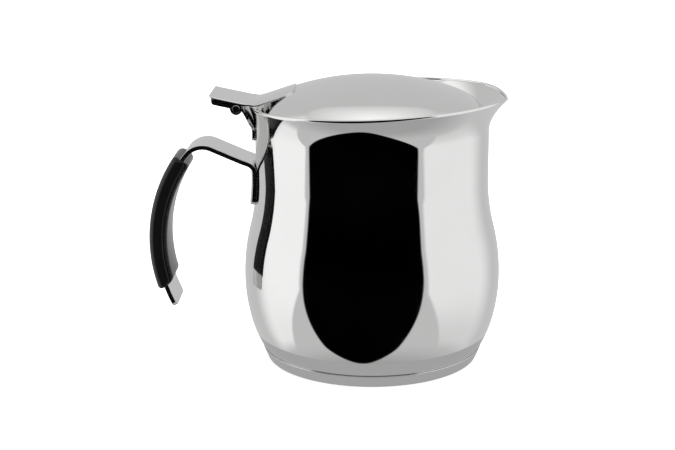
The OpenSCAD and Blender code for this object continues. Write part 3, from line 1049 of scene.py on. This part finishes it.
def studio_world(scene):
    """A white studio: bright screens to the left, right and overhead, a dark room behind the
    camera, and grey below. The camera itself sees plain white, and dull things are lit evenly
    by the same brightness from all round."""
    world = bpy.data.worlds.new("studio")
    scene.world = world
    world.use_nodes = True
    world.node_tree.nodes.clear()
    plan = Plan(world.node_tree)
    x, y, z = plan.parts(plan.add("ShaderNodeTexCoord").outputs["Generated"])
    turn = x.do("ARCTAN2", -y) * (180 / pi)
    lift = z.do("MAXIMUM", -1.0).do("MINIMUM", 1.0).do("ARCSINE") * (180 / pi)
    rays = plan.add("ShaderNodeLightPath").outputs
    seen = plan.num(rays["Is Camera Ray"])
    soft = plan.num(rays["Is Diffuse Ray"])
    even_light, white = 1.18, 1.0
    level = studio_light(turn, lift) * (1.0 - soft) + soft * even_light
    level = level * (1.0 - seen) + seen * white
    back = plan.add("ShaderNodeBackground", None, {"Color": (1, 1, 1, 1), "Strength": level})
    plan.add("ShaderNodeOutputWorld", None, {"Surface": back.outputs[0]})


def floor_finish(tint):
    """Lit white paper. Polished things mirror it only close round the pot, as a painted shade: a
    fixed grey glow that stands in for the paper in the pot's shadow. Beyond, they see the
    studio."""
    material = bpy.data.materials.new("white_paper")
    material.use_nodes = True
    material.node_tree.nodes.clear()
    plan = Plan(material.node_tree)
    where = plan.add("ShaderNodeTexCoord").outputs["Object"]
    tone = toned(plan, noise(plan, where, 300.0, 3.0) * 0.2, tint, 0.97)
    paper = plan.add("ShaderNodeBsdfDiffuse", None, {"Color": tone})
    clear = plan.add("ShaderNodeBsdfTransparent")
    glow = plan.add("ShaderNodeEmission")
    glow.inputs["Strength"].default_value = 0.5
    lit = plan.add("ShaderNodeAddShader", None, {0: paper.outputs[0], 1: glow.outputs[0]})
    # Painted shade: a fixed grey glow, seen only by polished surfaces, stands in for the paper
    # in the pot's shadow close round its foot.
    painted_shade = plan.add("ShaderNodeEmission")
    painted_shade.inputs["Strength"].default_value = 0.44
    x, y, _ = plan.parts(where)
    beyond = (x * x + y * y).do("SQRT").step(71.2 * MM, 72.2 * MM)
    reflected = plan.add("ShaderNodeMixShader", None, {
        0: beyond, 1: painted_shade.outputs[0], 2: clear.outputs[0]})
    mirrored = plan.add("ShaderNodeLightPath").outputs["Is Glossy Ray"]
    both = plan.add("ShaderNodeMixShader", None, {
        0: mirrored, 1: lit.outputs[0], 2: reflected.outputs[0]})
    plan.add("ShaderNodeOutputMaterial", None, {"Surface": both.outputs[0]})
    return material


class MakePotStage(bpy.types.Operator):
    """Makes the floor, the studio light and the camera"""

    bl_idname = "pot.make_stage"
    bl_label = "Stage"

    def execute(self, context):
        scene = context.scene
        size = scene.pot_stage
        scene.view_settings.view_transform = "Standard"
        reach = 30.0
        sheet = bpy.data.meshes.new("floor")
        sheet.from_pydata([(-reach, -reach, 0), (reach, -reach, 0), (reach, reach, 0),
                           (-reach, reach, 0)], [], [(0, 1, 2, 3)])
        sheet.materials.append(floor_finish(size.floor))
        floor = new_object("floor", sheet)
        studio_world(scene)
        lamp = bpy.data.lights.new("soft_box", "AREA")
        lamp.shape = "DISK"
        lamp.size = 1.2
        lamp.energy = 9.0
        box = bpy.data.objects.new("soft_box", lamp)
        box.location = (0.3, 0.2, 1.6)
        box.visible_glossy = False
        scene.collection.objects.link(box)
        view = bpy.data.cameras.new("camera")
        view.sensor_width = 36.0
        view.lens = size.lens
        view.shift_x = size.shift
        view.clip_start, view.clip_end = 0.01, 100.0
        camera = bpy.data.objects.new("camera", view)
        camera.location = (0.0, -size.distance, size.height)
        camera.rotation_euler = (pi / 2 - size.pitch, 0.0, 0.0)
        scene.collection.objects.link(camera)
        scene.camera = camera
        return {"FINISHED"}


# ---- Add-on ----

MAKERS = (MakePotBody, MakePotBase, MakePotStrap, MakePotGrip, MakePotBracket, MakePotPin,
          MakePotLid, MakePotLever, MakePotStage)


class PotPanel(bpy.types.Panel):
    """Lists the pieces of the melting pot"""

    bl_idname = "VIEW3D_PT_melting_pot"
    bl_label = "Melting pot"
    bl_space_type = "VIEW_3D"
    bl_region_type = "UI"
    bl_category = "Melting pot"

    def draw(self, context):
        column = self.layout.column()
        for name, group in SETTINGS.items():
            box = column.box()
            box.label(text=group.__doc__)
            for key in group.__annotations__:
                box.prop(getattr(context.scene, name), key)
        for maker in MAKERS:
            column.operator(maker.bl_idname)


CLASSES = (*SETTINGS.values(), *MAKERS, PotPanel)


def register():
    for part in CLASSES:
        bpy.utils.register_class(part)
    for name, group in SETTINGS.items():
        setattr(bpy.types.Scene, name, bpy.props.PointerProperty(type=group))


def unregister():
    for name in SETTINGS:
        delattr(bpy.types.Scene, name)
    for part in reversed(CLASSES):
        bpy.utils.unregister_class(part)


def main():
    """Registers the add-on and makes every piece."""
    register()
    for maker in MAKERS:
        group, action = maker.bl_idname.split(".")
        getattr(getattr(bpy.ops, group), action)()


if __name__ == "__main__":
    main()
